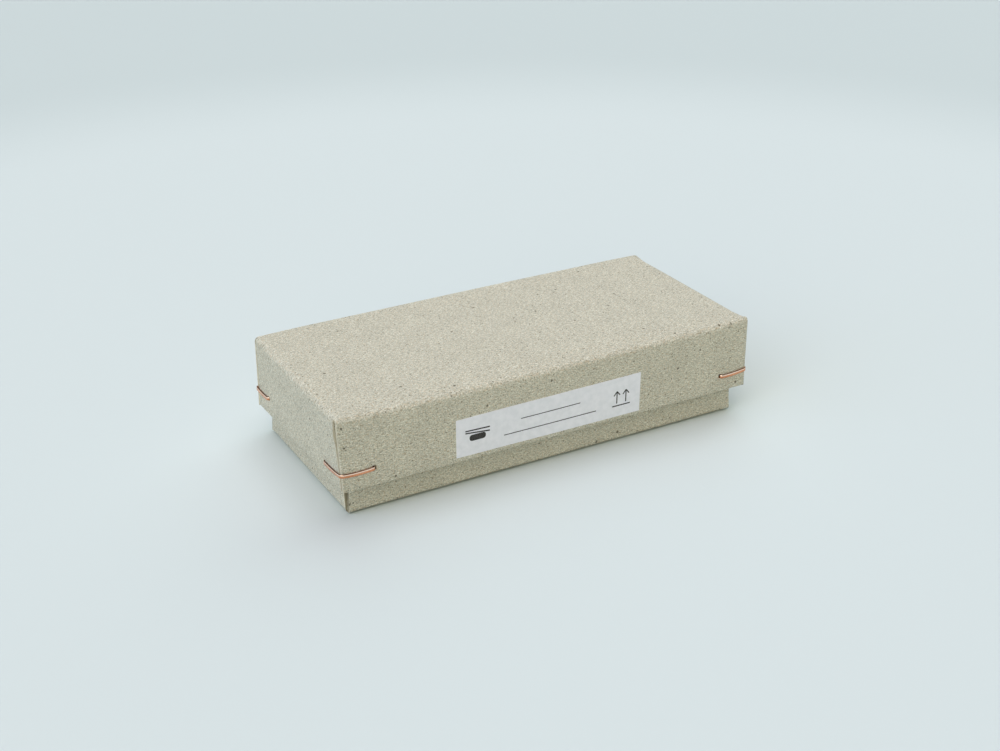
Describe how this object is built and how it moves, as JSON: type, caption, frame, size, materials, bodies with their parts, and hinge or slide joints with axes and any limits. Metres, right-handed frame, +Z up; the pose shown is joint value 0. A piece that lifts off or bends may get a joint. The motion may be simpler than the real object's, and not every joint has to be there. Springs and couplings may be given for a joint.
{
  "type": "boxed chopstick rest set",
  "caption": "Closed grey-board box, its lid and base stitched at the corners with copper wire, with a paper label; a folded insert holds a row of cast brass saddle-shaped chopstick rests.",
  "frame": {"origin": "centre of the footprint, on the surface that the box stands on", "axes": "+X along the box, -Y towards the side with the label, +Z up through the lid"},
  "size_m": [0.131, 0.061, 0.03],
  "materials": {
    "grey_board": "unlined recycled grey board, matt and flecked",
    "insert_board": "thin recycled grey board, matt",
    "label_paper": "uncoated white paper",
    "copper_wire": "copper-plated flat stitching wire, bright",
    "cast_brass": "sand-cast brass, satin skin"
  },
  "bodies": {
    "base": {"base_tray": "grey_board", "base_stitch_front_left": "copper_wire", "base_stitch_front_right": "copper_wire", "base_stitch_back_left": "copper_wire", "base_stitch_back_right": "copper_wire", "insert_riser": "insert_board", "insert_deck": "insert_board"},
    "lid": {"lid_tray": "grey_board", "lid_stitch_front_left": "copper_wire", "lid_stitch_front_right": "copper_wire", "lid_stitch_back_left": "copper_wire", "lid_stitch_back_right": "copper_wire", "lid_label": "label_paper"},
    "rest_1": {"rest_1": "cast_brass"},
    "rest_2": {"rest_2": "cast_brass"},
    "rest_3": {"rest_3": "cast_brass"},
    "rest_4": {"rest_4": "cast_brass"},
    "rest_5": {"rest_5": "cast_brass"}
  },
  "joints": [
    {"name": "lid_lift", "type": "slide", "parent": "base", "child": "lid", "axis": [0, 0, 1], "range_m": [0, 0.06]},
    {"name": "rest_1_lift", "type": "slide", "parent": "base", "child": "rest_1", "axis": [0, 0, 1], "range_m": [0, 0.0059]},
    {"name": "rest_2_lift", "type": "slide", "parent": "base", "child": "rest_2", "axis": [0, 0, 1], "range_m": [0, 0.0059]},
    {"name": "rest_3_lift", "type": "slide", "parent": "base", "child": "rest_3", "axis": [0, 0, 1], "range_m": [0, 0.0059]},
    {"name": "rest_4_lift", "type": "slide", "parent": "base", "child": "rest_4", "axis": [0, 0, 1], "range_m": [0, 0.0059]},
    {"name": "rest_5_lift", "type": "slide", "parent": "base", "child": "rest_5", "axis": [0, 0, 1], "range_m": [0, 0.0059]}
  ]
}
